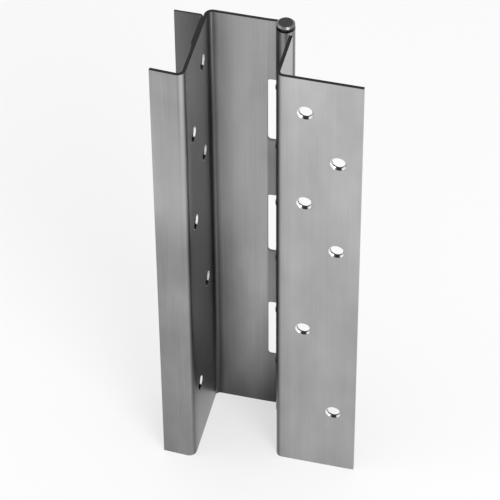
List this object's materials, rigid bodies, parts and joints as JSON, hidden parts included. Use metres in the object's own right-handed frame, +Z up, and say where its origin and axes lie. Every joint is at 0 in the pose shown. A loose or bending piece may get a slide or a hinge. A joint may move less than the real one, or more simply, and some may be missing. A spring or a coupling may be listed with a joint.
{
  "type": "continuous hinge",
  "caption": "Short length of a pin-and-barrel continuous hinge: a folded leaf with a channel for a door's edge and a folded leaf for the frame, turning on one pin.",
  "frame": {"origin": "the middle of the footprint, at the level of the leaves' lower ends", "axes": "+Z up the pin towards its head; the frame flange and the web next to the barrel run along X; the door channel opens towards -X; -Y is the side seen in the picture"},
  "size_m": [0.1118, 0.055, 0.3081],
  "materials": {
    "satin_stainless": "satin, with fine brushing along the length",
    "dark_bearing_plastic": "matt"
  },
  "bodies": {
    "door_side": {"door_leaf": "satin_stainless", "rear_guard_angle": "satin_stainless", "hinge_pin": "satin_stainless", "knuckle_bearing_1": "dark_bearing_plastic", "knuckle_bearing_2": "dark_bearing_plastic", "knuckle_bearing_3": "dark_bearing_plastic", "knuckle_bearing_4": "dark_bearing_plastic", "knuckle_bearing_5": "dark_bearing_plastic", "knuckle_bearing_6": "dark_bearing_plastic"},
    "frame_side": {"frame_leaf": "satin_stainless"}
  },
  "joints": [
    {"name": "hinge_swing", "type": "hinge", "parent": "door_side", "child": "frame_side", "pos_m": [0.00566, 0.02203, 0.1524], "axis": [0, 0, 1], "range_deg": [-90, 185]}
  ]
}
